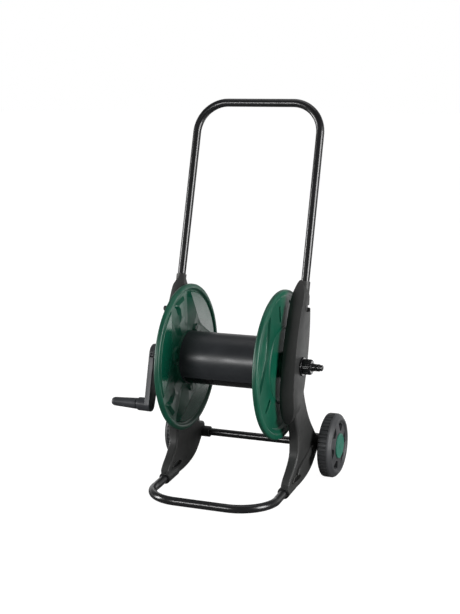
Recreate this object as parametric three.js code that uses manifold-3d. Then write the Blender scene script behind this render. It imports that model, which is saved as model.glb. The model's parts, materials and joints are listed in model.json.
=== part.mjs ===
// Two-wheeled garden hose reel cart: a U-shaped push handle and a U-shaped foot on two moulded
// side frames, a hose drum between two large flanges turned by a side crank, a hose inlet on the
// reel axis, and two wheels on a through axle. Millimetres, +Z up, +X towards the hose inlet,
// -Y towards the foot bar. The reel, the crank and the wheels turn about the X direction.
import * as THREE from 'three';
import { mergeVertices } from 'three/addons/utils/BufferGeometryUtils.js';
import Module from 'manifold-3d';

const wasm = await Module();
wasm.setup();

// ---- driving dimensions -------------------------------------------------------------------
const REEL_Z = 310;                 // height of the reel axis
const LEAN = THREE.MathUtils.degToRad(16.08);   // backward lean of the handle legs

const TUBE_R = 10;                  // steel tube, outer
const TUBE_WALL = 1.4;
const TUBE_SIDES = 16;

const HANDLE_X = 162;               // half the handle's leg spacing
const HANDLE_FOOT = 62;             // lower end of a leg, along the lean from the reel axis
const HANDLE_TOP = 639.4;           // centre of the grip bar, along the lean
const HANDLE_BEND = 76;             // bend radius of the two upper corners

const FOOT_X = 155;                 // half the foot's leg spacing
const FOOT_Y = -206;                // front bar
const FOOT_BEND = 90;
const FOOT_SLOPE = 0.1;             // rise of the foot's legs towards the sockets
const FOOT_END_Y = -24;

const AXLE_Y = 152;
const AXLE_Z = 80;
const AXLE_R = 5;
const AXLE_END = 222;
const AXLE_BORE = AXLE_R + 0.4;     // of the wheels, washers and axle bosses
const AXLE_TUBE_R = 9.5;
const AXLE_TUBE_BORE = 6;
const AXLE_TUBE_END = 146;
const COLLAR_R = 14;                // of the frame's collar round the axle tube
const COLLAR_X = 126.5;
const AXLE_BOSS_R = 16;             // between the frame and the wheel

const LEG_IN = 146;                 // inner and outer faces of the lower leg
const LEG_OUT = 172;
const LEAF_IN = 137;                // inner and outer faces of the upper body
const LEAF_OUT = 176;
const SOCKET_R = 14.4;              // sockets that hold the handle and the foot
const SOCKET_TOP = 207;             // along the lean from the reel axis
const SOCKET_MOUTH_Y = -69;
const SOCKET_BORE = TUBE_R + 0.8;
const HUB_BORE = 18.4;
const HUB_BOSS_R = 24;

const WHEEL_R = 80;
const WHEEL_IN = 189.5;
const WHEEL_OUT = 225;
const CAP_R = 31;

const FLANGE_R = 180;
const FLANGE_X = 122.7;             // middle of the rim
const DRUM_R = 65;
const DRUM_WALL = 7;
const DRUM_END = 115.4;
const SHAFT_R = 12;
const SHAFT_BORE = 7;
const SCREW_RING = 61.5;            // radius of the flange screws' circle
const SCREW_HOLE = 2.1;
const LENS_ANGLES = [43, 163, 283]; // pressed lens panels, clockwise from the top seen from +X
const ARM_ANGLES = [103, 223, 343]; // tapered arms between them

const CRANK_IN = 201;
const CRANK_OUT = 216;
const CRANK_LEAN = THREE.MathUtils.degToRad(18.3); // how far forward of straight down the arm hangs
const CRANK_LENGTH = 127;
const GRIP_IN = 237.3;
const GRIP_OUT = 309.5;
const PIN_END = 304;
const PIN_R = 4;
const PIN_BORE = PIN_R + 0.4;
const ARM_TOP_R = 25;               // rounded ends of the crank arm
const ARM_FOOT_R = 17;
const NUT_R = 18.6;                 // over the ribs of the inlet nut
const NUT_RIBS = 18;

// ---- colours ------------------------------------------------------------------------------
const finish = (color, roughness, metalness) => new THREE.MeshStandardMaterial({ color, roughness, metalness });
const BLACK_PAINT = finish(0x0c0c0e, 0.25, 0.4);
const CHARCOAL = finish(0x2b2b2c, 0.6, 0);
const GREEN = finish(0x00583f, 0.3, 0);
const TEAL = finish(0x2c7d62, 0.4, 0);
const SLATE = finish(0x33363a, 0.5, 0);
const TYRE_GREY = finish(0x2a2b2d, 0.65, 0);
const GLOSS_BLACK = finish(0x111113, 0.2, 0);
const STEEL = finish(0xa8abb0, 0.35, 1);
const RUBBER = finish(0x151515, 0.8, 0);

// ---- geometry helpers ---------------------------------------------------------------------
// keeps only the positions, merges shared corners, drops slivers and turns the faces outwards
function clean(geometry) {
  const bare = geometry.clone();
  for (const name of Object.keys(bare.attributes)) {
    if (name !== 'position') bare.deleteAttribute(name);
  }
  const merged = mergeVertices(bare, 1e-4);
  const p = merged.attributes.position;
  const kept = [];
  let volume = 0;
  const a = new THREE.Vector3();
  const b = new THREE.Vector3();
  const c = new THREE.Vector3();
  for (let i = 0; i < merged.index.count; i += 3) {
    const [i0, i1, i2] = [merged.index.getX(i), merged.index.getX(i + 1), merged.index.getX(i + 2)];
    if (i0 === i1 || i1 === i2 || i2 === i0) continue;
    kept.push(i0, i1, i2);
    a.fromBufferAttribute(p, i0);
    b.fromBufferAttribute(p, i1);
    c.fromBufferAttribute(p, i2);
    volume += a.dot(b.cross(c));
  }
  if (volume < 0) {
    for (let i = 0; i < kept.length; i += 3) [kept[i + 1], kept[i + 2]] = [kept[i + 2], kept[i + 1]];
  }
  const out = new THREE.BufferGeometry();
  out.setAttribute('position', p);
  out.setIndex(kept);
  return out;
}

function toSolid(geometry) {
  const g = clean(geometry);
  return new wasm.Manifold(new wasm.Mesh({
    numProp: 3,
    vertProperties: new Float32Array(g.attributes.position.array),
    triVerts: new Uint32Array(g.index.array),
  }));
}

function toGeometry(solid) {
  const mesh = solid.getMesh();
  const out = new THREE.BufferGeometry();
  out.setAttribute('position', new THREE.BufferAttribute(new Float32Array(mesh.vertProperties), 3));
  out.setIndex(Array.from(mesh.triVerts));
  return out;
}

function combine(base, adds, cuts) {
  let body = toSolid(base);
  for (const g of adds) body = body.add(toSolid(g));
  for (const g of cuts) body = body.subtract(toSolid(g));
  return toGeometry(body);
}

function mirrorX(geometry) {
  const out = geometry.clone();
  out.applyMatrix4(new THREE.Matrix4().makeScale(-1, 1, 1));
  return clean(out);
}

// a (y, z) outline extruded along x from x0 to x1, edges rounded by bevel
const SIDE_BASIS = new THREE.Matrix4().makeBasis(
  new THREE.Vector3(0, 1, 0), new THREE.Vector3(0, 0, 1), new THREE.Vector3(1, 0, 0));
function slab(outline, x0, x1, bevel = 0, segments = 2) {
  const shape = new THREE.Shape(outline.map(([y, z]) => new THREE.Vector2(y, z)));
  const g = new THREE.ExtrudeGeometry(shape, {
    depth: x1 - x0 - 2 * bevel,
    bevelEnabled: bevel > 0,
    bevelThickness: bevel,
    bevelSize: bevel * 0.85,
    bevelSegments: segments,
    curveSegments: 12,
  });
  g.translate(0, 0, x0 + bevel);
  g.applyMatrix4(SIDE_BASIS);
  return g;
}

// a closed (radius, x) profile turned about the X direction through (y, z)
const TURN_BASIS = new THREE.Matrix4().makeBasis(
  new THREE.Vector3(0, 0, 1), new THREE.Vector3(1, 0, 0), new THREE.Vector3(0, 1, 0));
function turned(profile, sides, y = 0, z = 0) {
  const points = profile.map(([r, x]) => new THREE.Vector2(r, x));
  const [first, last] = [points[0], points[points.length - 1]];
  if (first.x > 0 || last.x > 0) points.push(first.clone());
  const g = new THREE.LatheGeometry(points, sides);
  g.applyMatrix4(TURN_BASIS);
  g.translate(0, y, z);
  return g;
}

function rod(r, x0, x1, sides, y = 0, z = 0) {
  return turned([[0, x0], [r, x0], [r, x1], [0, x1]], sides, y, z);
}

function ring(r0, r1, x0, x1, sides, y = 0, z = 0) {
  return turned([[r0, x0], [r1, x0], [r1, x1], [r0, x1]], sides, y, z);
}

// a straight round bar between two points
function bar(from, to, r, sides) {
  const along = new THREE.Vector3().subVectors(to, from);
  const g = new THREE.CylinderGeometry(r, r, along.length(), sides);
  g.translate(0, along.length() / 2, 0);
  g.applyQuaternion(new THREE.Quaternion().setFromUnitVectors(new THREE.Vector3(0, 1, 0), along.normalize()));
  g.translate(from.x, from.y, from.z);
  return g;
}

// a path through given knots, one sweep step for each knot
class KnotPath extends THREE.Curve {
  constructor(knots) {
    super();
    this.knots = knots;
  }
  getPoint(t, target = new THREE.Vector3()) {
    const last = this.knots.length - 1;
    const at = THREE.MathUtils.clamp(t, 0, 1) * last;
    const i = Math.min(Math.floor(at + 1e-7), last - 1);
    return target.lerpVectors(this.knots[i], this.knots[i + 1], at - i);
  }
  getPointAt(u, target) {
    return this.getPoint(u, target);
  }
  getTangentAt(u, target = new THREE.Vector3()) {
    const last = this.knots.length - 1;
    const i = Math.round(u * last);
    const here = this.knots[i];
    const before = new THREE.Vector3().subVectors(here, this.knots[Math.max(i - 1, 0)]).normalize();
    const after = new THREE.Vector3().subVectors(this.knots[Math.min(i + 1, last)], here).normalize();
    return target.addVectors(before, after).normalize();
  }
}

function circlePath(r, sides, Kind) {
  const outline = new Kind();
  for (let k = 0; k < sides; k++) {
    const a = (k + 0.5) * 2 * Math.PI / sides;
    const [x, y] = [r * Math.cos(a), r * Math.sin(a)];
    if (k === 0) outline.moveTo(x, y);
    else outline.lineTo(x, y);
  }
  outline.closePath();
  return outline;
}

// bent tube: the flats of its outer wall stand exactly TUBE_R from the centre line
function bentTube(knots) {
  const section = circlePath(TUBE_R / Math.cos(Math.PI / TUBE_SIDES), TUBE_SIDES, THREE.Shape);
  section.holes.push(circlePath(TUBE_R - TUBE_WALL, TUBE_SIDES / 2, THREE.Path));
  return new THREE.ExtrudeGeometry(section, {
    steps: knots.length - 1,
    extrudePath: new KnotPath(knots),
    bevelEnabled: false,
  });
}

function polar(radius, degrees) {
  const a = THREE.MathUtils.degToRad(degrees);
  return [radius * Math.sin(a), radius * Math.cos(a)];
}

function smooth(points, count) {
  const curve = new THREE.SplineCurve(points.map(([y, z]) => new THREE.Vector2(y, z)));
  return curve.getPoints(count).map((p) => [p.x, p.y]);
}

// ---- tubes --------------------------------------------------------------------------------
const up = (s) => new THREE.Vector3(0, Math.sin(LEAN) * s, REEL_Z + Math.cos(LEAN) * s);

function handleKnots() {
  const knots = [up(HANDLE_FOOT).setX(-HANDLE_X)];
  const steps = 9;
  for (let k = 0; k <= steps; k++) {
    const a = k / steps * Math.PI / 2;
    const x = -HANDLE_X + HANDLE_BEND * (1 - Math.cos(a));
    knots.push(up(HANDLE_TOP - HANDLE_BEND * (1 - Math.sin(a))).setX(x));
  }
  const other = knots.map((p) => p.clone().setX(-p.x)).reverse();
  return [...knots, ...other];
}

const footHeight = (y) => TUBE_R + FOOT_SLOPE * Math.max(0, y - FOOT_Y - FOOT_BEND);

function footKnots() {
  const knots = [new THREE.Vector3(-FOOT_X, FOOT_END_Y, footHeight(FOOT_END_Y))];
  const steps = 9;
  for (let k = 0; k <= steps; k++) {
    const a = k / steps * Math.PI / 2;
    const x = -FOOT_X + FOOT_BEND * (1 - Math.cos(a));
    knots.push(new THREE.Vector3(x, FOOT_Y + FOOT_BEND * (1 - Math.sin(a)), TUBE_R));
  }
  const other = knots.map((p) => p.clone().setX(-p.x)).reverse();
  return [...knots, ...other];
}

const handleTube = () => bentTube(handleKnots());
const footTube = () => bentTube(footKnots());
const axleTube = () => ring(AXLE_TUBE_BORE, AXLE_TUBE_R, -AXLE_TUBE_END, AXLE_TUBE_END, 16, AXLE_Y, AXLE_Z);
const axleRod = () => turned([
  [0, -AXLE_END], [AXLE_R - 1, -AXLE_END], [AXLE_R, 1 - AXLE_END],
  [AXLE_R, AXLE_END - 1], [AXLE_R - 1, AXLE_END], [0, AXLE_END],
], 12, AXLE_Y, AXLE_Z);

// ---- side frame (right-hand one; the left is its mirror image) ------------------------------
function legOutline() {
  const front = smooth([[-30, 300], [-40, 250], [-37, 206], [-23, 172], [-12, 146], [-8, 112],
    [-12, 88], [-31, 66], [-54, 47], [-66, 34]], 15);
  const sole = smooth([[-65, 8], [-40, 8], [-5, 10], [35, 13], [75, 21], [105, 33], [125, 48],
    [142, 65], [153, 74]], 11);
  const lobe = smooth([[161, 80], [165, 93], [160, 104], [148, 108]], 4);
  const rear = smooth([[136, 110], [121, 119], [104, 135], [81, 158], [58, 188], [40, 219], [28, 247],
    [25, 262], [26, 300]], 11);
  return [...front, ...sole, ...lobe, ...rear];
}

function leafOutline() {
  const front = smooth([[35, 499], [11, 467], [-10, 429], [-27, 390], [-38, 355], [-46, 316],
    [-49, 283], [-49, 248], [-45, 218], [-36, 199]], 14);
  const rear = smooth([[-6, 213], [15, 246], [28, 276], [40, 312], [48, 345], [54, 376], [57, 404],
    [57, 436], [54, 462], [45, 489]], 12);
  return [...front, ...rear];
}

function socketSleeve(r, s0, s1, sides) {
  return bar(up(s0).setX(HANDLE_X), up(s1).setX(HANDLE_X), r, sides);
}

function footSleeve(r, y0, y1, sides) {
  const at = (y) => new THREE.Vector3(FOOT_X, y, footHeight(-100) + FOOT_SLOPE * (y + 100));
  return bar(at(y0), at(y1), r, sides);
}

// an (x, z) outline cut straight through from front to rear
const FRONT_BASIS = new THREE.Matrix4().makeBasis(
  new THREE.Vector3(1, 0, 0), new THREE.Vector3(0, 0, 1), new THREE.Vector3(0, -1, 0));
function wedge(outline) {
  const shape = new THREE.Shape(outline.map(([x, z]) => new THREE.Vector2(x, z)));
  const g = new THREE.ExtrudeGeometry(shape, { depth: 600, bevelEnabled: false });
  g.translate(0, 0, -300);
  g.applyMatrix4(FRONT_BASIS);
  return g;
}

function rightFrame() {
  const leg = combine(slab(legOutline(), LEG_IN, LEG_OUT, 5), [],
    [wedge([[LEG_OUT, 112], [LEG_OUT + 9, 112], [LEG_OUT + 9, -5], [LEG_OUT - 5.5, -5]])]);
  const leaf = combine(slab(leafOutline(), LEAF_IN, LEAF_OUT, 7, 3), [], [
    wedge([[LEAF_IN - 9, 418], [LEAF_IN, 418], [LEAF_IN + 9, 482], [LEAF_IN + 16, 514], [LEAF_IN - 9, 514]]),
    wedge([[LEAF_OUT + 9, 442], [LEAF_OUT, 442], [LEAF_OUT - 6, 506], [LEAF_OUT - 7, 514],
      [LEAF_OUT + 9, 514]]),
  ]);
  const rib = slab([[96, 78], [98, 90], [84, 90], [-6, 60], [-22, 46], [-6, 44], [20, 52]], 165, 175, 2, 1);
  const adds = [
    leaf,
    rib,
    socketSleeve(SOCKET_R, 120, SOCKET_TOP, 20),
    footSleeve(SOCKET_R, SOCKET_MOUTH_Y, FOOT_END_Y + 12, 20),
    rod(COLLAR_R, COLLAR_X, LEG_IN + 4, 20, AXLE_Y, AXLE_Z),
    rod(AXLE_BOSS_R, LEG_OUT - 8, WHEEL_IN - 3.2, 20, AXLE_Y, AXLE_Z),
    rod(HUB_BOSS_R, LEAF_IN - 2, LEAF_IN + 6, 24, 0, REEL_Z),
  ];
  const slot = slab([[8, 34], [12, 40], [-4, 45], [-28, 43], [-46, 34], [-24, 32]], 161, 180);
  const cuts = [
    socketSleeve(SOCKET_BORE, HANDLE_FOOT - 2, SOCKET_TOP + 5, TUBE_SIDES),
    footSleeve(SOCKET_BORE, SOCKET_MOUTH_Y - 21, FOOT_END_Y + 2, TUBE_SIDES),
    rod(AXLE_TUBE_R + 0.45, COLLAR_X - 2, AXLE_TUBE_END + 1, 16, AXLE_Y, AXLE_Z),
    rod(AXLE_BORE, COLLAR_X - 2, WHEEL_IN, 12, AXLE_Y, AXLE_Z),
    rod(HUB_BORE, LEAF_IN - 4, LEAF_OUT + 2, 24, 0, REEL_Z),
    slab([[26, 438], [46, 433], [58, 471], [51, 474], [43, 446], [28, 450]], LEAF_OUT - 5, LEAF_OUT + 2),
    slot,
  ];
  return combine(leg, adds, cuts);
}

// ---- pieces carried by the frames -----------------------------------------------------------
// flanged bush in a side frame's hub bore
function rightBush() {
  return turned([
    [SHAFT_R + 0.6, LEAF_IN - 1.6], [18, LEAF_IN - 1.6], [18, LEAF_OUT + 0.3], [22.5, LEAF_OUT + 0.3],
    [22.5, LEAF_OUT + 3], [21.5, LEAF_OUT + 4], [SHAFT_R + 0.6, LEAF_OUT + 4],
  ], 20, 0, REEL_Z);
}

function inletBody() {
  const bore = 4;
  return turned([
    [bore, 150], [6.6, 150], [6.6, 174.4], [12.1, 174.4], [12.1, 183], [10.2, 184], [10.2, 200],
    [8.9, 202.5], [8.9, 208.5], [6.4, 210], [6.4, 212.8], [8.7, 214.2], [8.7, 219], [7.2, 221],
    [7.2, 226], [6.2, 227], [bore, 227],
  ], 20, 0, REEL_Z);
}

function inletNut() {
  const outline = [];
  for (let k = 0; k < NUT_RIBS; k++) {
    const step = 360 / NUT_RIBS;
    for (const [part, r] of [[0, NUT_R], [0.5, NUT_R], [0.58, NUT_R - 1.2], [0.92, NUT_R - 1.2]]) {
      const [y, z] = polar(r, (k + part) * step);
      outline.push([y, REEL_Z + z]);
    }
  }
  const cuts = [rod(12.5, 178, 184.6, 24, 0, REEL_Z), rod(10.6, 178, 203, 24, 0, REEL_Z)];
  return combine(slab(outline, 180.4, 200.6), [], cuts);
}

function oRing(x, r, thick) {
  const profile = [];
  for (let k = 0; k < 6; k++) {
    const a = k * Math.PI / 3;
    profile.push([r + thick * Math.cos(a), x + thick * Math.sin(a)]);
  }
  return turned(profile, 16, 0, REEL_Z);
}

function lockKnob() {
  const [y, z] = [30, 421];
  const base = LEAF_OUT + 0.3;
  return turned([[0, base], [5, base], [5, 190], [6.5, 191], [6.5, 197], [5, 199], [0, 199]], 16, y, z);
}

// ---- reel -------------------------------------------------------------------------------------
function lensOutline(degrees, inset) {
  const outer = 155 - inset;
  const half = 39 - inset * 0.4;
  const points = [];
  for (let k = 0; k <= 8; k++) {
    points.push(polar(outer, degrees - half + 2 * half * k / 8));
  }
  for (let k = 1; k < 6; k++) {
    const t = k / 6;
    const r = outer - (outer - 106 - inset) * Math.pow(Math.sin(Math.PI * t), 0.8);
    points.push(polar(r, degrees + half - 2 * half * t));
  }
  return points.map(([y, z]) => [y, z + REEL_Z]);
}

function armOutline(degrees, r0, r1, w0, w1) {
  const along = polar(1, degrees);
  const across = polar(1, degrees + 90);
  return [[r0, -w0], [r0, w0], [r1, w1], [r1, -w1]].map(
    ([r, w]) => [along[0] * r + across[0] * w, along[1] * r + across[1] * w + REEL_Z]);
}

// screws sit in line with the arms
const screwPlaces = ARM_ANGLES.map((a) => polar(SCREW_RING, a));

function rightFlange() {
  const inner = FLANGE_X - 7;
  const disc = turned([
    [SHAFT_R + 0.6, inner + 0.1], [72, inner + 0.1], [84, inner + 2.5], [150, inner + 5.5], [163, inner + 5.5],
    [167, inner + 2], [171, inner], [176, inner + 0.3], [179.4, inner + 3.2], [FLANGE_R, inner + 7],
    [179.4, inner + 10.8], [176, inner + 13.7], [171, inner + 14], [167, inner + 12], [163, inner + 9.5],
    [150, inner + 9.5], [84, inner + 7.5], [40, inner + 7.5], [28, inner + 17.5], [SHAFT_R + 0.6, inner + 17.5],
  ], 48, 0, REEL_Z);
  const adds = [];
  const cuts = [];
  for (const a of LENS_ANGLES) {
    adds.push(slab(lensOutline(a, 0), inner + 1.5, inner + 6.5));
    cuts.push(slab(lensOutline(a, 4), inner + 5, inner + 13));
  }
  for (const a of ARM_ANGLES) {
    adds.push(slab(armOutline(a, 84, 150, 24, 15), inner + 1, inner + 6));
    cuts.push(slab(armOutline(a, 104, 138, 5, 3.5), inner - 2, inner + 16));
  }
  for (const [y, z] of screwPlaces) {
    cuts.push(rod(SCREW_HOLE, inner - 2, inner + 12, 8, y, REEL_Z + z));
  }
  return combine(disc, adds, cuts);
}

function flangeScrew([y, z]) {
  const face = FLANGE_X - 7 + 7.5;
  return turned([[0, face - 20], [1.2, face - 20], [1.7, face - 18], [1.7, face + 0.3], [4, face + 0.3],
    [3.4, face + 2.2], [0, face + 2.8]], 10, y, REEL_Z + z);
}

// the hose outlet leaves the drum towards the rear and downwards, near the inlet side
const OUTLET_X = 84;
const OUTLET_ANGLE = 127;

function alongOutlet(r0, r1, radius, sides) {
  const [dy, dz] = polar(1, OUTLET_ANGLE);
  const at = (r) => new THREE.Vector3(OUTLET_X, dy * r, REEL_Z + dz * r);
  return bar(at(r0), at(r1), radius, sides);
}

function drum() {
  const wall = ring(DRUM_R - DRUM_WALL, DRUM_R, -DRUM_END, DRUM_END, 40, 0, REEL_Z);
  const cuts = [alongOutlet(40, 80, 9.6, 16)];
  for (const [y, z] of screwPlaces) {
    cuts.push(rod(SCREW_HOLE, DRUM_END - 18, DRUM_END + 2, 8, y, REEL_Z + z));
    cuts.push(rod(SCREW_HOLE, -DRUM_END - 2, -DRUM_END + 18, 8, y, REEL_Z + z));
  }
  return combine(wall, [], cuts);
}

function hubShaft() {
  const body = turned([
    [0, -201], [2.2, -201], [2.2, -CRANK_OUT + 0.6], [SHAFT_R, -CRANK_OUT + 0.6], [SHAFT_R, 173.6],
    [SHAFT_BORE, 173.6], [SHAFT_BORE, 76], [0, 76],
  ], 24, 0, REEL_Z);
  return combine(body, [], [alongOutlet(2, 20, 4, 12)]);
}

function outletNipple() {
  const profile = [[3.6, 12.6], [9, 12.6], [9, 65.6], [13, 66], [13, 69], [8.9, 70], [8.9, 78], [6.4, 79.5],
    [6.4, 82.5], [8.7, 84], [8.7, 89], [7.2, 91], [7.2, 95], [3.6, 95]];
  const points = profile.map(([r, h]) => new THREE.Vector2(r, h));
  points.push(points[0].clone());
  const g = new THREE.LatheGeometry(points, 16);
  const [dy, dz] = polar(1, OUTLET_ANGLE);
  g.applyQuaternion(new THREE.Quaternion().setFromUnitVectors(
    new THREE.Vector3(0, 1, 0), new THREE.Vector3(0, dy, dz)));
  g.translate(OUTLET_X, 0, REEL_Z);
  return g;
}

// ---- crank --------------------------------------------------------------------------------------
const GRIP_Y = -Math.sin(CRANK_LEAN) * CRANK_LENGTH;
const GRIP_Z = REEL_Z - Math.cos(CRANK_LEAN) * CRANK_LENGTH;

function armHull() {
  const points = [];
  const down = Math.atan2(GRIP_Z - REEL_Z, GRIP_Y);
  for (let k = 0; k <= 12; k++) {
    const a = down + Math.PI / 2 + k / 12 * Math.PI;
    points.push([ARM_TOP_R * Math.cos(a), REEL_Z + ARM_TOP_R * Math.sin(a)]);
  }
  for (let k = 0; k <= 10; k++) {
    const a = down - Math.PI / 2 + k / 10 * Math.PI;
    points.push([GRIP_Y + ARM_FOOT_R * Math.cos(a), GRIP_Z + ARM_FOOT_R * Math.sin(a)]);
  }
  return points;
}

function crankArm() {
  const arm = slab(armHull(), -CRANK_OUT, -CRANK_IN, 3);
  const adds = [rod(ARM_FOOT_R, -GRIP_IN + 0.3, -CRANK_IN - 4, 24, GRIP_Y, GRIP_Z)];
  const cuts = [
    rod(SHAFT_R + 0.5, -CRANK_OUT - 1, -CRANK_IN + 1, 24, 0, REEL_Z),
    rod(PIN_BORE, -GRIP_IN - 1, -CRANK_IN + 1, 12, GRIP_Y, GRIP_Z),
  ];
  return combine(arm, adds, cuts);
}

function crankScrew() {
  return turned([[0, -202.2], [1.8, -202.2], [1.8, -CRANK_OUT - 0.3], [14, -CRANK_OUT - 0.3],
    [14, -CRANK_OUT - 1.6], [8, -CRANK_OUT - 4.5], [0, -CRANK_OUT - 4.5]], 18, 0, REEL_Z);
}

function gripPin() {
  return turned([
    [0, -PIN_END], [PIN_R - 0.6, -PIN_END], [PIN_R, 1 - PIN_END], [PIN_R, -CRANK_IN - 1], [0, -CRANK_IN - 1],
  ], 12, GRIP_Y, GRIP_Z);
}

function crankGrip() {
  return turned([
    [PIN_BORE, -GRIP_IN], [13.4, -GRIP_IN], [14, -GRIP_IN - 1.5], [13.2, -256], [12, -278], [11.2, -298],
    [10.6, 3.5 - GRIP_OUT], [8.6, -GRIP_OUT], [0, -GRIP_OUT], [0, -PIN_END - 0.6], [PIN_BORE, -PIN_END - 0.6],
  ], 20, GRIP_Y, GRIP_Z);
}

// ---- wheels ---------------------------------------------------------------------------------------
function rightWheel() {
  const body = turned([
    [AXLE_BORE, WHEEL_IN], [20, WHEEL_IN], [24, WHEEL_IN + 6], [60, WHEEL_IN + 6], [66, WHEEL_IN + 0.5],
    [76, WHEEL_IN + 0.5], [79.4, WHEEL_IN + 3], [WHEEL_R, WHEEL_IN + 6], [WHEEL_R, WHEEL_IN + 22],
    [78.5, WHEEL_IN + 26], [70, WHEEL_OUT - 0.6], [66, WHEEL_OUT], [63, WHEEL_OUT - 1], [60, WHEEL_OUT - 5],
    [34, WHEEL_OUT - 2.5], [CAP_R + 1, WHEEL_OUT - 1], [CAP_R + 0.4, WHEEL_OUT - 6], [AXLE_BORE, WHEEL_OUT - 6],
  ], 40, AXLE_Y, AXLE_Z);
  const cuts = [];
  for (let k = 0; k < 6; k++) {
    const a = k * 60 + 20;
    const corners = [[38, a - 8], [57, a - 18], [58, a], [57, a + 18], [38, a + 8]];
    cuts.push(slab(corners.map(([r, d]) => polar(r, d)).map(([y, z]) => [AXLE_Y + y, AXLE_Z + z]),
      WHEEL_OUT - 14, WHEEL_OUT + 2));
  }
  return combine(body, [], cuts);
}

function rightCap() {
  return turned([
    [0, WHEEL_OUT - 1.2], [CAP_R - 3, WHEEL_OUT - 1.2], [CAP_R - 3, WHEEL_OUT - 5.6], [CAP_R, WHEEL_OUT - 5.6],
    [CAP_R, WHEEL_OUT + 0.6], [CAP_R - 2, WHEEL_OUT + 1.6], [0, WHEEL_OUT + 2.4],
  ], 32, AXLE_Y, AXLE_Z);
}

const rightPushNut = () => ring(AXLE_R + 0.3, 10, WHEEL_OUT - 5.6, WHEEL_OUT - 3.4, 20, AXLE_Y, AXLE_Z);
const rightWasher = () => ring(AXLE_BORE, 12, WHEEL_IN - 2.8, WHEEL_IN - 0.35, 20, AXLE_Y, AXLE_Z);

// ---- scene graph ------------------------------------------------------------------------------------
const cart = new THREE.Group();

function put(name, geometry, material) {
  const mesh = new THREE.Mesh(clean(geometry), material);
  mesh.name = name;
  cart.add(mesh);
}

function pair(name, geometry, material) {
  put(`right_${name}`, geometry, material);
  put(`left_${name}`, mirrorX(geometry), material);
}

put('handle_tube', handleTube(), BLACK_PAINT);
put('foot_tube', footTube(), BLACK_PAINT);
put('axle_tube', axleTube(), BLACK_PAINT);
put('axle_rod', axleRod(), STEEL);
pair('side_frame', rightFrame(), CHARCOAL);
pair('hub_bush', rightBush(), GLOSS_BLACK);
put('inlet_body', inletBody(), GLOSS_BLACK);
put('inlet_nut', inletNut(), GLOSS_BLACK);
put('inlet_o_ring', oRing(211.4, 8, 1.05), RUBBER);
put('handle_lock_knob', mirrorX(lockKnob()), CHARCOAL);
put('drum', drum(), SLATE);
pair('flange', rightFlange(), GREEN);
put('hub_shaft', hubShaft(), CHARCOAL);
put('outlet_nipple', outletNipple(), GLOSS_BLACK);
screwPlaces.forEach((place, k) => pair(`flange_screw_${k + 1}`, flangeScrew(place), STEEL));
put('crank_arm', crankArm(), CHARCOAL);
put('crank_screw', crankScrew(), CHARCOAL);
put('grip_pin', gripPin(), STEEL);
put('crank_grip', crankGrip(), SLATE);
pair('wheel', rightWheel(), TYRE_GREY);
pair('hub_cap', rightCap(), TEAL);
pair('wheel_washer', rightWasher(), STEEL);
pair('push_nut', rightPushNut(), STEEL);

// the origin is under the middle of the cart's bounding box, at the floor
const box = new THREE.Box3().setFromObject(cart);
const middle = box.getCenter(new THREE.Vector3());
for (const mesh of cart.children) mesh.geometry.translate(-middle.x, -middle.y, -box.min.z);

export default cart;
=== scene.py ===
# Visual model of a two-wheeled garden hose reel cart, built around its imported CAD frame.
# Shapes are worked out in millimetres in the cart's own axes: x = 0 midway between the side frames,
# y = 0 on the reel axis, z = 0 on the floor, +x towards the hose inlet, -y towards the foot bar.
import json
import math

import bmesh
import bpy
import numpy as np
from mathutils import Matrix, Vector
from mathutils.geometry import delaunay_2d_cdt


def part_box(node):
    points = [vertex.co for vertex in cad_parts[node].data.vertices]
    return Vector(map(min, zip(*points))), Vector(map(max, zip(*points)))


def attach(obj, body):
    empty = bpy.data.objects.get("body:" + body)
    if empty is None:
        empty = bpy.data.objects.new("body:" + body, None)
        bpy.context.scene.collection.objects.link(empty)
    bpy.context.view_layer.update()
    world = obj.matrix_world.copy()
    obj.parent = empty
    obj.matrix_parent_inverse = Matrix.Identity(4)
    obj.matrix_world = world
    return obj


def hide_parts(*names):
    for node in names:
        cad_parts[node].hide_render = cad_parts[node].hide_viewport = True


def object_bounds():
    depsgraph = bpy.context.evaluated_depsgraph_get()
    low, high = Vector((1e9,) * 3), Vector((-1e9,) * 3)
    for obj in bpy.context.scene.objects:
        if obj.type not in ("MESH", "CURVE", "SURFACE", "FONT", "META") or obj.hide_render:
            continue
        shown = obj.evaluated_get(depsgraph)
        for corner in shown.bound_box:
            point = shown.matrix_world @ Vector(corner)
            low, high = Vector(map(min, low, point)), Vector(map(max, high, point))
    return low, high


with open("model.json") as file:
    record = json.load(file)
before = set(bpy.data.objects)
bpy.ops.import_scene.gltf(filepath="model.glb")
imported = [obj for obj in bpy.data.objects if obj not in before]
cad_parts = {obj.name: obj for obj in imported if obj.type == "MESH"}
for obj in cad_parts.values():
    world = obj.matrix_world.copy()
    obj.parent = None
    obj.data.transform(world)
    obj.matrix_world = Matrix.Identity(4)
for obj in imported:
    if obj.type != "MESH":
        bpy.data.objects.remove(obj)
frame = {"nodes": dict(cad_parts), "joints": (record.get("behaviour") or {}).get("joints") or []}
cad_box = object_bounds()

# ---- where the CAD frame puts things ------------------------------------------------------------
MM = 0.001
joint_at = {joint["name"]: Vector(joint["pos_m"]) for joint in frame["joints"]}


def box_mm(node):
    """A node's lowest and highest corner in the cart's axes, in millimetres."""
    low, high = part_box(node)
    return (Vector(low) - ORIGIN) / MM, (Vector(high) - ORIGIN) / MM


def place_mm(joint):
    return (joint_at[joint] - ORIGIN) / MM


drum_low, drum_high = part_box("drum")
ORIGIN = Vector(((drum_low[0] + drum_high[0]) / 2, joint_at["reel_spin"].y, cad_box[0].z))

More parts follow.
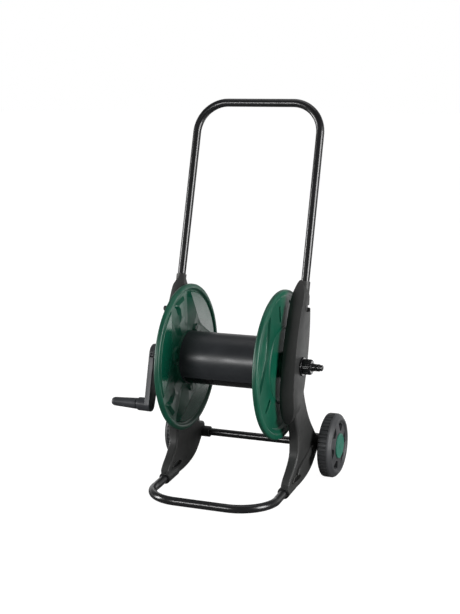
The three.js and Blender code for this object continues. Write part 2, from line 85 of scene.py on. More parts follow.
REEL_Z = place_mm("reel_spin").z
AXLE_Y, AXLE_Z = place_mm("right_wheel_spin").yz
GRIP_Y, GRIP_Z = place_mm("grip_spin").yz
FLANGE_LOW, FLANGE_HIGH = box_mm("right_flange")
WHEEL_LOW, WHEEL_HIGH = box_mm("right_wheel")
HANDLE_HIGH = box_mm("handle_tube")[1]
FOOT_LOW, FOOT_HIGH = box_mm("foot_tube")
KNOB_LOW, KNOB_HIGH = box_mm("handle_lock_knob")

TUBE_R = 10.0
TUBE_WALL = 1.4
CROSS_TUBE_R = 9.5
CROSS_TUBE_BORE = 6.0
LEAN = math.radians(16.08)          # backward lean of the handle legs
LEAF_IN, LEAF_OUT = 137.0, 176.0    # faces of a side frame's upper body
LEG_IN, LEG_OUT = 146.0, 172.0      # faces of a side frame's leg
DRUM_R = 65.0
SHAFT_R = 12.0
FLANGE_R = (FLANGE_HIGH.z - FLANGE_LOW.z) / 2
FLANGE_IN = FLANGE_LOW.x
WHEEL_R = (WHEEL_HIGH.z - WHEEL_LOW.z) / 2
HANDLE_X = HANDLE_HIGH.x - TUBE_R
FOOT_X = FOOT_HIGH.x - TUBE_R

# ---- procedural materials -----------------------------------------------------------------------


def linear(red, green, blue):
    """sRGB 0-255 to a linear colour with alpha."""
    def one(value):
        value /= 255
        return value / 12.92 if value <= 0.04045 else ((value + 0.055) / 1.055) ** 2.4
    return (one(red), one(green), one(blue), 1.0)


class Finish:
    """A Principled material whose colour, roughness and relief come from layered noise."""

    def __init__(self, name, roughness, **sockets):
        self.material = bpy.data.materials.new(name)
        self.material.use_nodes = True
        self.tree = self.material.node_tree
        self.shader = self.tree.nodes["Principled BSDF"]
        self.shader.inputs["Roughness"].default_value = roughness
        for socket, value in sockets.items():
            self.shader.inputs[socket.replace("_", " ")].default_value = value
        self.spot = self.tree.nodes.new("ShaderNodeTexCoord").outputs["Object"]
        self.normal = None

    def node(self, kind, **values):
        made = self.tree.nodes.new(kind)
        for key, value in values.items():
            setattr(made, key, value)
        return made

    def link(self, source, target):
        self.tree.links.new(source, target)

    def noise(self, scale, detail=3.0, stretch=(1, 1, 1)):
        """Noise of the given features per metre, squeezed by stretch along x, y and z."""
        mapping = self.node("ShaderNodeMapping")
        mapping.inputs["Scale"].default_value = stretch
        self.link(self.spot, mapping.inputs["Vector"])
        made = self.node("ShaderNodeTexNoise")
        made.inputs["Scale"].default_value = scale
        made.inputs["Detail"].default_value = detail
        self.link(mapping.outputs["Vector"], made.inputs["Vector"])
        return made.outputs["Fac"]

    def ramp(self, source, low, high, start=0.3, end=0.7):
        made = self.node("ShaderNodeValToRGB")
        made.color_ramp.elements[0].position = start
        made.color_ramp.elements[0].color = low
        made.color_ramp.elements[1].position = end
        made.color_ramp.elements[1].color = high
        self.link(source, made.inputs["Fac"])
        return made.outputs["Color"]

    def colour(self, low, high, scale, stretch=(1, 1, 1)):
        self.link(self.ramp(self.noise(scale, 4.0, stretch), low, high), self.shader.inputs["Base Color"])

    def vary_roughness(self, low, high, scale, stretch=(1, 1, 1)):
        made = self.node("ShaderNodeMapRange")
        made.inputs["From Min"].default_value = 0.3
        made.inputs["From Max"].default_value = 0.7
        made.inputs["To Min"].default_value = low
        made.inputs["To Max"].default_value = high
        self.link(self.noise(scale, 5.0, stretch), made.inputs["Value"])
        self.link(made.outputs["Result"], self.shader.inputs["Roughness"])

    def relief(self, scale, height_mm, strength=1.0, detail=2.0, stretch=(1, 1, 1)):
        """Adds a layer of surface relief on top of the layers already there."""
        bump = self.node("ShaderNodeBump")
        bump.inputs["Strength"].default_value = strength
        bump.inputs["Distance"].default_value = height_mm * MM
        self.link(self.noise(scale, detail, stretch), bump.inputs["Height"])
        if self.normal:
            self.link(self.normal, bump.inputs["Normal"])
        self.normal = bump.outputs["Normal"]
        self.link(self.normal, self.shader.inputs["Normal"])


def moulded(name, low, high, roughness, grain_mm, **sockets):
    """Injection-moulded plastic: faint flow mottling, a fine grain and slow waviness."""
    made = Finish(name, roughness, **sockets)
    made.colour(linear(*low), linear(*high), 14.0)
    made.vary_roughness(roughness * 0.86, roughness * 1.14, 30.0)
    made.relief(9.0, 0.3, 0.2, 1.0)
    made.relief(1500.0, grain_mm, 0.6, 2.0)
    return made.material


def painted_tube():
    made = Finish("black_paint", 0.26, Coat_Weight=0.3, Coat_Roughness=0.16)
    made.colour(linear(16, 16, 18), linear(25, 25, 27), 20.0)
    made.vary_roughness(0.24, 0.29, 12.0)
    made.relief(30.0, 0.02, 0.1, 1.0)
    return made.material


def plated_steel():
    made = Finish("plated_steel", 0.28, Metallic=1.0)
    made.colour(linear(96, 98, 102), linear(126, 128, 132), 90.0)
    made.vary_roughness(0.3, 0.5, 250.0, (0.1, 1, 1))
    made.relief(1200.0, 0.015, 0.4, 3.0, (0.1, 1, 1))
    return made.material


BLACK_PAINT = painted_tube()
CHARCOAL = moulded("charcoal_plastic", (40, 41, 41), (48, 48, 47), 0.5, 0.04)
GREEN = moulded("green_plastic", (0, 70, 52), (2, 84, 62), 0.4, 0.006)
GREEN_POLISHED = moulded("polished_green_plastic", (0, 70, 52), (2, 84, 62), 0.2, 0.003)
TEAL = moulded("teal_plastic", (34, 98, 82), (44, 112, 94), 0.4, 0.01)
SLATE = moulded("slate_plastic", (48, 50, 54), (62, 64, 68), 0.35, 0.02)
WHEEL_GREY = moulded("wheel_plastic", (50, 51, 53), (62, 63, 65), 0.5, 0.05)
GLOSS_BLACK = moulded("gloss_black_plastic", (14, 14, 16), (22, 22, 24), 0.18, 0.006)
STEEL = plated_steel()
RUBBER = moulded("seal_rubber", (18, 18, 18), (28, 28, 28), 0.7, 0.03)

# ---- outlines -----------------------------------------------------------------------------------


def polar(radius, degrees):
    """(y, z) at a radius and an angle clockwise from straight up, seen from +x."""
    angle = math.radians(degrees)
    return radius * math.sin(angle), radius * math.cos(angle)


def rounded(points, radius=0.0, closed=True, step=18.0):
    """The polyline with each corner replaced by an arc; a point may carry its own radius third."""
    out = []
    for i, point in enumerate(points):
        here = np.array(point[:2], float)
        bend = point[2] if len(point) > 2 else radius
        if bend <= 0 or (not closed and i in (0, len(points) - 1)):
            out.append(tuple(here))
            continue
        before = np.array(points[i - 1][:2], float) - here
        after = np.array(points[(i + 1) % len(points)][:2], float) - here
        long_before, long_after = np.hypot(*before), np.hypot(*after)
        before, after = before / long_before, after / long_after
        turn = math.pi - math.acos(max(-1.0, min(1.0, float(before @ after))))
        if turn < 0.03:
            out.append(tuple(here))
            continue
        cut = min(bend * math.tan(turn / 2), 0.49 * long_before, 0.49 * long_after)
        bend = cut / math.tan(turn / 2)
        middle = before + after
        centre = here + middle / np.hypot(*middle) * bend / math.cos(turn / 2)
        first, last = here + before * cut - centre, here + after * cut - centre
        steps = max(1, math.ceil(math.degrees(turn) / step))
        for k in range(steps + 1):
            t = k / steps
            arm = (math.sin((1 - t) * turn) * first + math.sin(t * turn) * last) / math.sin(turn)
            out.append(tuple(centre + arm))
    return out


def spline(points, count):
    """A smooth curve through the points (Catmull-Rom), count + 1 points long."""
    p = np.array(points, float)
    p = np.vstack([2 * p[0] - p[1], p, 2 * p[-1] - p[-2]])
    out = []
    for t in np.linspace(0, len(points) - 1, count + 1):
        i = min(int(t), len(points) - 2)
        u = t - i
        a, b, c, d = p[i], p[i + 1], p[i + 2], p[i + 3]
        out.append(tuple(0.5 * (2 * b + (c - a) * u + (2 * a - 5 * b + 4 * c - d) * u * u
                                + (3 * b - a - 3 * c + d) * u ** 3)))
    return out


def grown(outline, distance):
    """The closed outline moved outwards by distance."""
    p = np.array(outline, float)
    before, after = p - np.roll(p, 1, 0), np.roll(p, -1, 0) - p
    before /= np.linalg.norm(before, axis=1)[:, None]
    after /= np.linalg.norm(after, axis=1)[:, None]
    area = np.sum(p[:, 0] * np.roll(p[:, 1], -1) - np.roll(p[:, 0], -1) * p[:, 1])
    side = 1 if area > 0 else -1
    out_before = np.stack([before[:, 1], -before[:, 0]], 1) * side
    out_after = np.stack([after[:, 1], -after[:, 0]], 1) * side
    middle = out_before + out_after
    middle /= np.linalg.norm(middle, axis=1)[:, None]
    reach = np.maximum(np.sum(middle * out_after, 1), 0.5)
    return [tuple(q) for q in p + middle * (distance / reach)[:, None]]


# ---- solids: a pair of points and faces, in millimetres --------------------------------------------


def joined(*solids):
    points, faces = [], []
    for more_points, more_faces in solids:
        start = len(points)
        points += [tuple(p) for p in more_points]
        faces += [tuple(i + start for i in face) for face in more_faces]
    return points, faces


def moved(solid, change):
    return [tuple(change(p)) for p in solid[0]], solid[1]


def mirrored(solid):
    return [(-x, y, z) for x, y, z in solid[0]], [tuple(reversed(face)) for face in solid[1]]


def lofted(rings, closed_ends=True, looped=False):
    """A skin over rings with equal numbers of points, capped at both ends."""
    count = len(rings[0])
    points = [tuple(p) for ring in rings for p in ring]
    faces = []
    for i in range(len(rings) if looped else len(rings) - 1):
        a, b = i * count, (i + 1) % len(rings) * count
        faces += [(a + k, a + (k + 1) % count, b + (k + 1) % count, b + k) for k in range(count)]
    if closed_ends and not looped:
        faces.append(tuple(reversed(range(count))))
        faces.append(tuple(range(len(points) - count, len(points))))
    return points, faces


def turned(profile, sides=72, y=0.0, z=0.0, swell=None, closed=True):
    """A (radius, x) profile turned about the x direction; swell may change its radius by the angle."""
    closed = closed and (profile[0][0] > 0 or profile[-1][0] > 0)
    points, rings, faces = [], [], []
    for radius, x in profile:
        if radius < 1e-6:
            rings.append([len(points)])
            points.append((x, y, z))
            continue
        rings.append(list(range(len(points), len(points) + sides)))
        for k in range(sides):
            degrees = 360 * k / sides
            dy, dz = polar(swell(radius, x, degrees) if swell else radius, degrees)
            points.append((x, y + dy, z + dz))
    following = rings[1:] + ([rings[0]] if closed else [])
    for a, b in zip(rings, following):
        for k in range(sides):
            face = [a[k % len(a)], a[(k + 1) % sides % len(a)], b[(k + 1) % sides % len(b)], b[k % len(b)]]
            face = tuple(dict.fromkeys(face))
            if len(face) > 2:
                faces.append(face)
    return points, faces


def rod(radius, x0, x1, sides=48, y=0.0, z=0.0, edge=0.0):
    profile = [(0, x0), (radius, x0, edge), (radius, x1, edge), (0, x1)]
    return turned(rounded(profile, closed=False, step=30), sides, y, z)


def slab(outline, x0, x1, bevel=0.0, steps=4, soft=1.0):
    """An outline in (y, z) made thick along x, its edges rounded; soft squashes the rounding inwards."""
    rings = []
    turns = [math.pi / 2 * k / steps for k in range(steps + 1)] if bevel else [0.0]
    for angle in reversed(turns):
        inner = grown(outline, -bevel * soft * (1 - math.cos(angle))) if bevel else outline
        rings.append([(x0 + bevel * (1 - math.sin(angle)), y, z) for y, z in inner])
    for angle in turns:
        inner = grown(outline, -bevel * soft * (1 - math.cos(angle))) if bevel else outline
        rings.append([(x1 - bevel * (1 - math.sin(angle)), y, z) for y, z in inner])
    return lofted(rings)


def tube_along(path, radius, sides=32, wall=0.0):
    """A round tube swept along a path without twist; with a wall it is open at both ends."""
    path = [Vector(p) for p in path]
    last = len(path) - 1
    tangents = [(path[min(i + 1, last)] - path[max(i - 1, 0)]).normalized() for i in range(last + 1)]
    across = tangents[0].orthogonal().normalized()
    rings = []
    for at, along in zip(path, tangents):
        across = (across - along * across.dot(along)).normalized()
        other = along.cross(across)
        rings.append([at + (across * math.cos(a) + other * math.sin(a)) * radius
                      for a in (2 * math.pi * k / sides for k in range(sides))])
    if not wall:
        return lofted(rings)
    inner = [[at + (p - at) * (1 - wall / radius) for p in ring] for at, ring in zip(path, rings)]
    return lofted(rings + inner[::-1], looped=True)


def bar(start, end, radius, sides=48):
    return tube_along([start, end], radius, sides)


# ---- turning solids into pieces -----------------------------------------------------------------


def mesh_of(name, solid):
    mesh = bpy.data.meshes.new(name)
    points = [(ORIGIN + Vector(p) * MM) for p in solid[0]]
    mesh.from_pydata(points, [], solid[1])
    mesh.validate()
    facing_out = bmesh.new()
    facing_out.from_mesh(mesh)
    bmesh.ops.recalc_face_normals(facing_out, faces=facing_out.faces)
    facing_out.to_mesh(mesh)
    facing_out.free()
    return mesh


def combined(base, adds=(), cuts=()):
    """The base with solids joined on and others cut away, by boolean modifiers."""
    holder = bpy.data.objects.new("work", mesh_of("work", base))
    bpy.context.scene.collection.objects.link(holder)
    helpers = []
    for operation, group in (("UNION", adds), ("DIFFERENCE", cuts)):
        for solid in group:
            helper = bpy.data.objects.new("helper", mesh_of("helper", solid))
            bpy.context.scene.collection.objects.link(helper)
            helpers.append(helper)
            change = holder.modifiers.new("join", "BOOLEAN")
            change.operation = operation
            change.object = helper
            change.solver = "EXACT"
    bpy.context.view_layer.update()
    result = bpy.data.meshes.new_from_object(holder.evaluated_get(bpy.context.evaluated_depsgraph_get()))
    points = [tuple((v.co - ORIGIN) / MM) for v in result.vertices]
    faces = [tuple(p.vertices) for p in result.polygons]
    for thing in [holder, *helpers]:
        mesh = thing.data
        bpy.data.objects.remove(thing)
        bpy.data.meshes.remove(mesh)
    bpy.data.meshes.remove(result)
    return points, faces


def piece(name, body, solid, material, replaces, sharp=28.0):
    """A Blender object made from a solid, riding on a body and standing for CAD nodes."""
    mesh = mesh_of(name, solid)
    made = bpy.data.objects.new(name, mesh)
    bpy.context.scene.collection.objects.link(made)
    mesh.materials.append(material)
    for polygon in mesh.polygons:
        polygon.use_smooth = True
    mesh.set_sharp_from_angle(angle=math.radians(sharp))
    weighted = made.modifiers.new("normals", "WEIGHTED_NORMAL")
    weighted.keep_sharp = True
    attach(made, body)
    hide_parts(*replaces)
    return made


def pair(name, bodies, solid, material, sharp=28.0):
    """The right-hand piece and its mirror image on the left."""
    piece(f"right_{name}_shell", bodies[0], solid, material, [f"right_{name}"], sharp)
    piece(f"left_{name}_shell", bodies[1], mirrored(solid), material, [f"left_{name}"], sharp)


# ---- tubes --------------------------------------------------------------------------------------
UP = Vector((0, math.sin(LEAN), math.cos(LEAN)))


def up(s, x=0.0):
    """A point s along the handle's lean, measured from the reel axis."""
    return Vector((x, 0, REEL_Z)) + UP * s


HANDLE_TOP = (HANDLE_HIGH.z - TUBE_R - REEL_Z) / math.cos(LEAN)
HANDLE_FOOT = 62.0
HANDLE_BEND = 76.0
FOOT_BAR_Y = FOOT_LOW.y + TUBE_R
FOOT_BEND = 90.0
FOOT_END_Y = -24.0
FOOT_SLOPE = 0.1
BEND_STEPS = 28


def handle_path():
    half = [up(s, -HANDLE_X) for s in np.linspace(HANDLE_FOOT, HANDLE_TOP - HANDLE_BEND, 12)[:-1]]
    for k in range(BEND_STEPS + 1):
        a = k / BEND_STEPS * math.pi / 2
        x = -HANDLE_X + HANDLE_BEND * (1 - math.cos(a))
        half.append(up(HANDLE_TOP - HANDLE_BEND * (1 - math.sin(a)), x))
    return half + [Vector((-p.x, p.y, p.z)) for p in reversed(half)]


def foot_height(y):
    return TUBE_R + FOOT_SLOPE * max(0.0, y - FOOT_BAR_Y - FOOT_BEND)


def foot_path():
    straight = np.linspace(FOOT_END_Y, FOOT_BAR_Y + FOOT_BEND, 8)[:-1]
    half = [Vector((-FOOT_X, y, foot_height(y))) for y in straight]
    for k in range(BEND_STEPS + 1):
        a = k / BEND_STEPS * math.pi / 2
        x = -FOOT_X + FOOT_BEND * (1 - math.cos(a))
        half.append(Vector((x, FOOT_BAR_Y + FOOT_BEND * (1 - math.sin(a)), TUBE_R)))
    return half + [Vector((-p.x, p.y, p.z)) for p in reversed(half)]


def make_tubes():
    for name, path in (("handle_tube", handle_path()), ("foot_tube", foot_path())):
        solid = tube_along(path, TUBE_R, 40, TUBE_WALL)
        piece(f"{name}_smooth", "frame", solid, BLACK_PAINT, [name])
    half = -box_mm("axle_tube")[0].x
    wall = rounded([(CROSS_TUBE_BORE, -half), (CROSS_TUBE_R, -half), (CROSS_TUBE_R, half),
                    (CROSS_TUBE_BORE, half)], 0.5)
    solid = turned(wall, 64, AXLE_Y, AXLE_Z)
    piece("axle_tube_smooth", "frame", solid, BLACK_PAINT, ["axle_tube"])


# ---- side frames ----------------------------------------------------------------------------------
# (height, y) of the pod's front and rear edges, and (height, inner x, outer x) of its sides
LEAF_FRONT = [(509, 46), (499, 35), (467, 11), (429, -10), (390, -27), (355, -38), (316, -46),
              (283, -52), (248, -55), (218, -51), (199, -45), (182, -35), (172, -26)]
LEAF_REAR = [(509, 52), (489, 48), (462, 55), (436, 58), (404, 57), (376, 54), (345, 48), (312, 40),
             (276, 28), (246, 15), (213, -6), (190, -15), (172, -20)]
LEAF_SIDES = [(172, 143, 152), (180, 139, 162), (195, LEAF_IN, 171), (215, LEAF_IN, LEAF_OUT),
              (440, LEAF_IN, LEAF_OUT), (470, 139, LEAF_OUT), (482, 141, 174.5), (496, 145, 167),
              (504, 148, 161), (509, 151, 157)]
LEAF_RINGS = 68


def along_z(points):
    """A function of z through (z, y) points, smooth between them."""
    curve = np.array(sorted(spline(points, 200)))
    return lambda z: float(np.interp(z, curve[:, 0], curve[:, 1]))


def leaf_section(z, front, rear, inner, outer):
    """One level section of the pod: gently bulging front wall, crease, outer face that leans forwards."""
    width, depth = rear - front, outer - inner
    crease_x, crease_y = outer - 0.1 * depth, front + min(4.0, 0.1 * width)
    turn_x = depth * np.interp(z, [250, 400], [0.2, 0.45])
    turn_y = min(np.interp(z, [250, 400], [6, 16]), 0.25 * width)
    section = [(outer, front + 0.45 * width), (outer - 0.03 * depth, front + 0.25 * width)]
    flat_x = inner + turn_x
    for t in np.linspace(1, 0, 10):
        section.append((flat_x + (crease_x - flat_x) * t, front + (crease_y - front) * t ** 1.7))
    for t in np.linspace(0, 1, 10)[1:]:
        a = t * math.pi / 2
        section.append((inner + turn_x * (1 - math.sin(a)), front + turn_y * (1 - math.cos(a))))
    corner = min(3.0, 0.2 * width, 0.2 * depth)
    centre_y = rear - corner
    for centre_x, start in ((inner + corner, 180), (outer - corner, 90)):
        for k in range(5):
            a = math.radians(start - 90 * k / 4)
            section.append((centre_x + corner * math.cos(a), centre_y + corner * math.sin(a)))
    return [(x, y, z) for x, y in section]


def make_leaf():
    """The frame's long upper pod, pointed at the top where it meets the handle's collar."""
    front_at, rear_at = along_z(LEAF_FRONT), along_z(LEAF_REAR)
    heights, inners, outers = zip(*LEAF_SIDES)
    rings = []
    for z in np.linspace(heights[0], heights[-1], LEAF_RINGS):
        inner, outer = np.interp(z, heights, inners), np.interp(z, heights, outers)
        rings.append(leaf_section(z, front_at(z), rear_at(z), inner, outer))
    return lofted(rings)


def leg_outline():
    """The leg's outline in (y, z), from the pod down to the foot socket and back over the axle lobe."""
    front = spline([(-30, 300), (-40, 250), (-37, 206), (-23, 172), (-12, 146), (-8, 112), (-12, 88),
                    (-31, 66), (-54, 47), (-66, 34)], 44)
    sole = spline([(-65, 8), (-40, 8), (-5, 10), (35, 13), (75, 21), (105, 33), (125, 48), (142, 65),
                   (153, 74)], 30)
    lobe = spline([(161, 80), (165, 93), (160, 104), (148, 108)], 12)
    rear = spline([(136, 110), (121, 119), (104, 135), (81, 158), (58, 188), (40, 219), (28, 247),
                   (25, 262), (26, 300)], 34)
    return front + sole + lobe + rear


TAPER_TOP = 112.0                   # below this height the leg's outer face leans inwards
TAPER = 5.5 / 117                   # by this much for each millimetre of height


def tapered_leg(point):
    x, y, z = point
    if z < TAPER_TOP:
        x -= TAPER * (TAPER_TOP - z) * max(0.0, (x - LEG_IN) / (LEG_OUT - LEG_IN))
    return x, y, z


SLIDE = 0.4                         # gap round a tube in its socket
COLLAR_R = 12.4                     # collar round the handle leg
SOCKET_R = 14.5                     # sleeve round the foot tube's end
AXLE_BORE = 5.4
BUSH_R = 18.0
INNER_COLLAR = 126.5                # inner end of the axle boss


def foot_socket(radius, y0, y1, sides=48):
    """A round bar along the foot tube's sloping end."""
    def at(y):
        return Vector((FOOT_X, y, foot_height(-100) + FOOT_SLOPE * (y + 100)))
    return bar(at(y0), at(y1), radius, sides)


def side_frame():
    leg = moved(slab(leg_outline(), LEG_IN, LEG_OUT, 6, 5), tapered_leg)
    rib_outline = rounded([(97, 78), (99, 90), (84, 92), (-6, 61), (-22, 46), (-6, 44), (20, 52)], 3)
    lip_outline = rounded([(14, 30), (18, 40), (-4, 49), (-30, 47), (-52, 34), (-26, 28)], 5)
    slot = rounded([(8, 34), (12, 40), (-4, 45), (-28, 43), (-46, 34), (-24, 32)], 2.5)
    hook = rounded([(20, 441), (28, 436), (52, 434), (60, 446), (60, 474), (50, 476), (47, 450),
                    (20, 454)], 2)
    adds = [
        make_leaf(),
        slab(rib_outline, LEG_OUT - 7, LEG_OUT + 3.5, 2.5, 3),
        slab(lip_outline, LEG_OUT - 12, LEG_OUT - 0.5, 1.5, 3),
        slab(lip_outline, LEG_IN - 1.5, LEG_IN + 8, 1.5, 3),
        bar(up(120, HANDLE_X), up(203, HANDLE_X), COLLAR_R),
        foot_socket(SOCKET_R, -69, -12),
        rod(14, INNER_COLLAR, LEG_IN + 4, 48, AXLE_Y, AXLE_Z, 1.2),
        rod(16, LEG_OUT - 8, WHEEL_LOW.x - 3.2, 48, AXLE_Y, AXLE_Z, 1.5),
        rod(24, LEAF_IN - 2, LEAF_IN + 6, 64, 0, REEL_Z, 1.0),
    ]
    cuts = [
        bar(up(HANDLE_FOOT - 2, HANDLE_X), up(212, HANDLE_X), TUBE_R + SLIDE),
        foot_socket(TUBE_R + SLIDE, -90, FOOT_END_Y + 2),
        rod(CROSS_TUBE_R + SLIDE, INNER_COLLAR - 2.5, LEG_IN + 1, 48, AXLE_Y, AXLE_Z),
        rod(AXLE_BORE, INNER_COLLAR - 2.5, WHEEL_LOW.x, 32, AXLE_Y, AXLE_Z),
        rod(BUSH_R + SLIDE, LEAF_IN - 4, LEAF_OUT + 2, 64, 0, REEL_Z),
        slab(hook, LEAF_OUT - 7, LEAF_OUT + 2),
        slab(slot, LEG_OUT - 11, LEG_OUT + 8),
        slab(slot, LEG_IN - 4, LEG_IN + 7),
    ]
    return combined(leg, adds, cuts)


# ---- pieces carried by the frames -------------------------------------------------------------------


def hub_bush():
    """A flanged bearing pressed into the pod; the reel's shaft turns in it."""
    bore, head = SHAFT_R + 0.6, 22.5
    profile = [(bore, LEAF_IN - 1.6), (BUSH_R, LEAF_IN - 1.6, 0.5), (BUSH_R, LEAF_OUT + 0.3),
               (head, LEAF_OUT + 0.3, 0.4), (head, LEAF_OUT + 4, 1.2), (bore, LEAF_OUT + 4, 0.8)]
    return turned(rounded(profile), 72, 0, REEL_Z)


def inlet_body():
    """The hose connector's body: a neck in the shaft, a thread under the nut and a grooved nipple."""
    profile = [(4, 150), (6.6, 150), (6.6, 174.4), (12.1, 174.4), (12.1, 183, 0.5), (10.2, 184),
               (10.2, 200, 0.5), (8.9, 202.5, 0.5), (8.9, 208.5, 0.8), (6.4, 210, 0.5),
               (6.4, 212.8, 0.5), (8.7, 214.2, 0.6), (8.7, 219, 0.6), (7.2, 221, 0.6),
               (7.2, 226, 0.6), (6.2, 227, 0.3), (4, 227, 0.6)]
    return turned(rounded(profile), 64, 0, REEL_Z)


def inlet_nut():
    """Collar nut with rounded grip ribs, narrowing at its outer end."""
    ribs, rib_height = 18, 1.1

    def swell(radius, x, degrees):
        if radius < 15:
            return radius
        wave = math.sin(math.radians(degrees * ribs))
        return radius + rib_height * (max(-0.6, min(0.6, wave)) - 0.6)
    profile = rounded([(12.6, 180.4), (17.6, 180.4, 0.8), (18.6, 182), (18.6, 197, 1.5), (16.4, 200.6, 1.0),
                       (10.7, 200.6), (10.7, 184.6), (12.6, 184.6)])
    return turned(profile, ribs * 12, 0, REEL_Z, swell)


def lock_knob():
    """The handle lock's knob, on the left frame only."""
    y, z = (KNOB_LOW.y + KNOB_HIGH.y) / 2, (KNOB_LOW.z + KNOB_HIGH.z) / 2
    profile = [(0, LEAF_OUT + 0.3), (5, LEAF_OUT + 0.3), (5, 190, 0.6), (6.5, 191, 0.8),
               (6.5, 197.5, 1.2), (4, 199, 0.8), (0, 199)]
    return mirrored(turned(rounded(profile, closed=False), 48, y, z))


# ---- reel ---------------------------------------------------------------------------------------
LENS_ANGLES = (43, 163, 283)
ARM_ANGLES = (103, 223, 343)
RIM_IN = 163.0
DRUM_GAP_R = 66.5                   # where the web starts outside the drum


def lens_outline(degrees, inset, dip=102.0):
    """A lens panel: its outer edge follows the rim, its inner edge dips towards the axis."""
    outer, half = 159 - inset, 38 - inset * 0.5
    points = [polar(outer, degrees - half + 2 * half * k / 24) for k in range(25)]
    for k in range(1, 18):
        t = k / 18
        radius = outer - (outer - dip - inset) * math.sin(math.pi * t) ** 0.8
        points.append(polar(radius, degrees + half - 2 * half * t))
    return points


def arm_outline(degrees, corners):
    """A closed outline along an arm from (distance from the axis, half width) corners."""
    along, across = np.array(polar(1, degrees)), np.array(polar(1, degrees + 90))
    right = [along * r + across * w for r, w in corners]
    left = [along * r - across * w for r, w in reversed(corners)]
    return [tuple(p) for p in right + left]


def pad_outline(degrees, radius):
    """A round pad that grows out of the drum's end, cut off at the drum."""
    centre, foot = np.array(polar(71, degrees)), DRUM_GAP_R + 1.5
    turn = [centre + polar(radius, degrees + a) for a in range(-170, 171, 10)]
    kept = [tuple(p) for p in turn if math.hypot(*p) > foot + 0.5]
    last, first = (math.degrees(math.atan2(*p)) for p in (kept[-1], kept[0]))
    back = (first - last) % 360 - 360
    return kept + [polar(foot, last + back * k / 10) for k in range(11)]


def relief_sheet(inner_radius, features, seams, dished):
    """A faceted annulus: outlines and seam lines at stated heights, with a dished web between them."""
    points, edges, heights = [], [], []

    def line(outline, height, closed=True):
        start, count = len(points), len(outline)
        points.extend(Vector(p) for p in outline)
        heights.extend(height(math.hypot(*p)) if callable(height) else height for p in outline)
        edges.extend((start + k, start + (k + 1) % count) for k in range(count if closed else count - 1))
    line([polar(RIM_IN, 2.5 * k) for k in range(144)], dished)
    line([polar(inner_radius, 5 * k) for k in range(72)], dished)
    for outline, height in features:
        line(outline, height)
    for outline, height in seams:
        line(outline, height, closed=False)
    flat, _, faces, origins, _, _ = delaunay_2d_cdt(points, edges, [], 1, 1e-5)
    made = []
    for p, from_points in zip(flat, origins):
        height = heights[from_points[0]] if from_points else dished(p.length)
        made.append((FLANGE_IN + height, p.x, p.y + REEL_Z))
    kept = []
    for face in faces:
        middle = sum((flat[i] for i in face), Vector((0, 0))) / len(face)
        if inner_radius - 0.01 < middle.length < RIM_IN + 0.01:
            kept.append(tuple(face))
    return made, kept


LENS_TOP = 2.4                      # heights from the rim's hose side towards the frame
PAD_TOP = 0.2
PANEL_FLOOR = 4.9                   # of the recess behind a lens panel
WEB_BACK = 11.0
BOSS_R = 40.0                       # where the outer side's web meets the hub boss
BOSS_END = 17.5
RIDGE_TOP = 12.8
RIDGE_RADII = (86, 87.5, 91.5, 93)  # foot, top edges and foot of the ridge round the hub


def dished_front(radius):
    """Hose side of the web: a shallow bowl between the drum and the rim."""
    return float(np.interp(radius, [DRUM_GAP_R, 84, 104, 140, RIM_IN], [5.0, 6.8, 9.0, 9.2, 7.4]))


def arm_height(radius):
    """Hose side of an arm: it slopes up from its inner end to the rim."""
    return float(np.interp(radius, [104, 148], [4.4, 0.8]))


def arm_shoulder(radius):
    return arm_height(radius) + 0.6


def dished_back(radius):
    """Outer side of the web: flat but for a low ridge round the hub."""
    return float(np.interp(radius, RIDGE_RADII, [WEB_BACK, RIDGE_TOP, RIDGE_TOP, WEB_BACK]))


# (distance from the axis, half width) along an arm
ARM_TOP = [(106, 8), (122, 7), (138, 9.5), (147, 19)]
ARM_MIDDLE = [(104.5, 9), (122, 8.2), (138, 10.8), (148.5, 21)]
ARM_FOOT = [(93, 17), (122, 18), (140, 22), (154, 31)]
ARM_SLOT = [(107, 5.5), (122, 6.5), (146, 4)]
# (radius, degrees from the arm) along the seam beside it
SEAM = [(80, 23), (104, 22), (128, 21), (149, 19.5)]


